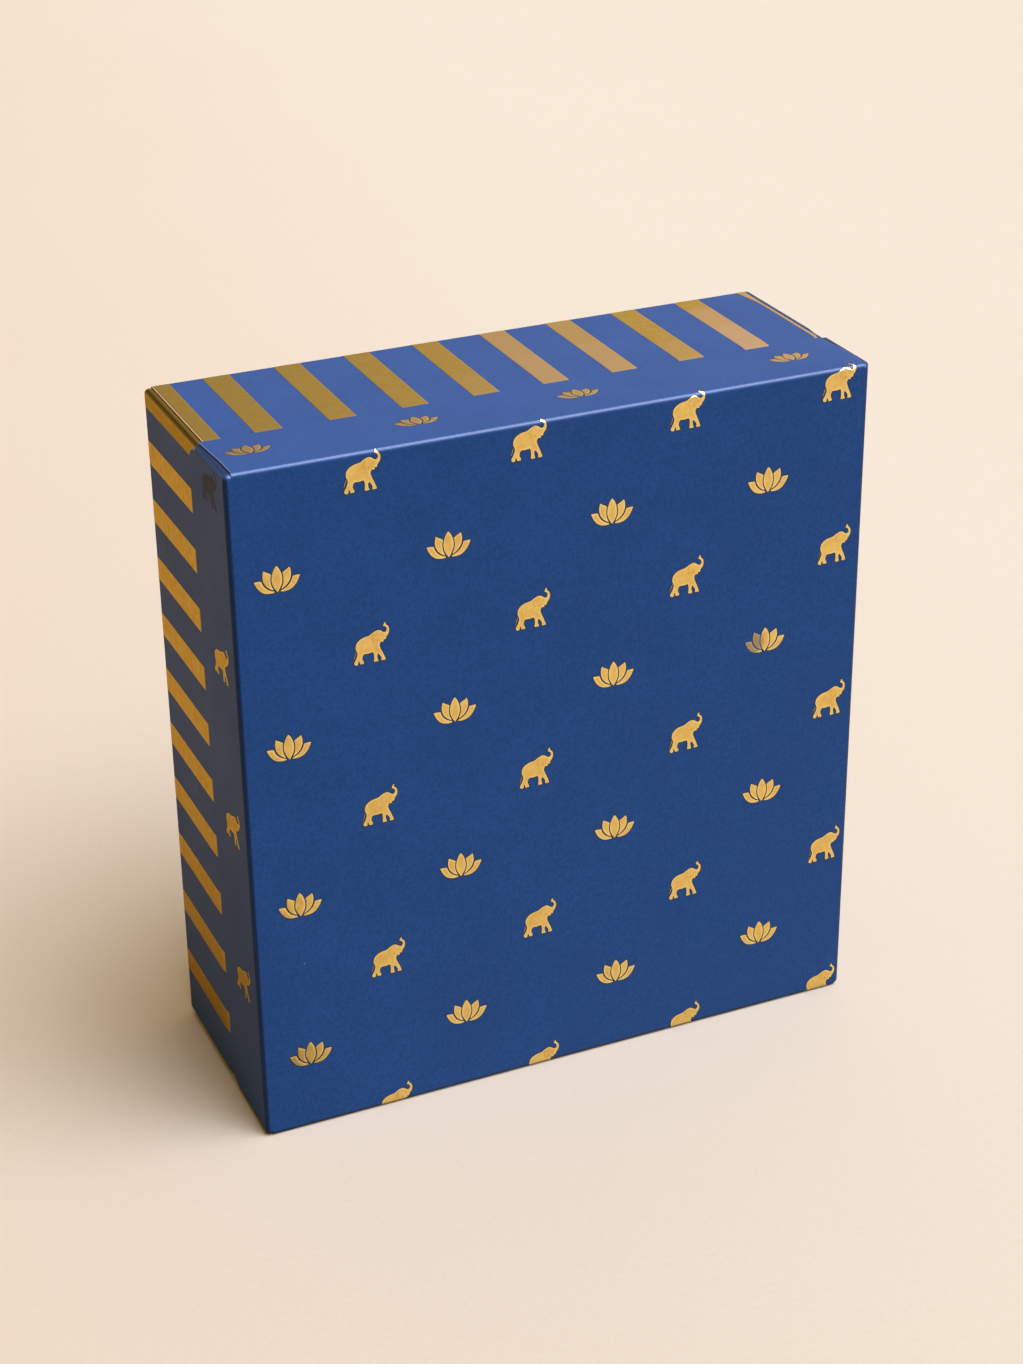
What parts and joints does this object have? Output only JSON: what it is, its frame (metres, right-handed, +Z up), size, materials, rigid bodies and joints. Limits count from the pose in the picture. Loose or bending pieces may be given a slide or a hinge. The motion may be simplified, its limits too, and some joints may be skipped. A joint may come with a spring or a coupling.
{
  "type": "gift box",
  "caption": "Two-piece gift box of folded board standing on edge: a foil-striped tray and a shallow lid with foil figures that pulls straight off.",
  "frame": {"origin": "middle of the box's underside, at the middle of its width and depth", "axes": "+X to the right as seen from the front, +Y from the lid's face to the tray's back, +Z up along the height"},
  "size_m": [0.202, 0.0765, 0.2201],
  "materials": {
    "tray_board": "uncoated blue print on folding board",
    "lid_board": "uncoated blue print on folding board",
    "gold_foil": "satin hot-stamped foil",
    "glue": "dried paper glue"
  },
  "bodies": {
    "tray": {"tray_back_panel": "tray_board", "tray_top_wall": "tray_board", "tray_bottom_wall": "tray_board", "tray_left_wall": "tray_board", "tray_right_wall": "tray_board", "tray_corner_tab_top_left": "tray_board", "tray_corner_tab_top_right": "tray_board", "tray_corner_tab_bottom_left": "tray_board", "tray_corner_tab_bottom_right": "tray_board", "tray_glue_patches": "glue", "tray_foil_top": "gold_foil", "tray_foil_bottom": "gold_foil", "tray_foil_left": "gold_foil", "tray_foil_right": "gold_foil"},
    "lid": {"lid_face_panel": "lid_board", "lid_top_wall": "lid_board", "lid_bottom_wall": "lid_board", "lid_left_wall": "lid_board", "lid_right_wall": "lid_board", "lid_corner_tab_top_left": "lid_board", "lid_corner_tab_top_right": "lid_board", "lid_corner_tab_bottom_left": "lid_board", "lid_corner_tab_bottom_right": "lid_board", "lid_glue_patches": "glue", "lid_foil_elephants": "gold_foil", "lid_foil_lotuses": "gold_foil"}
  },
  "joints": [
    {"name": "lid_slide", "type": "slide", "parent": "tray", "child": "lid", "axis": [0, -1, 0], "range_m": [0, 0.13]}
  ]
}
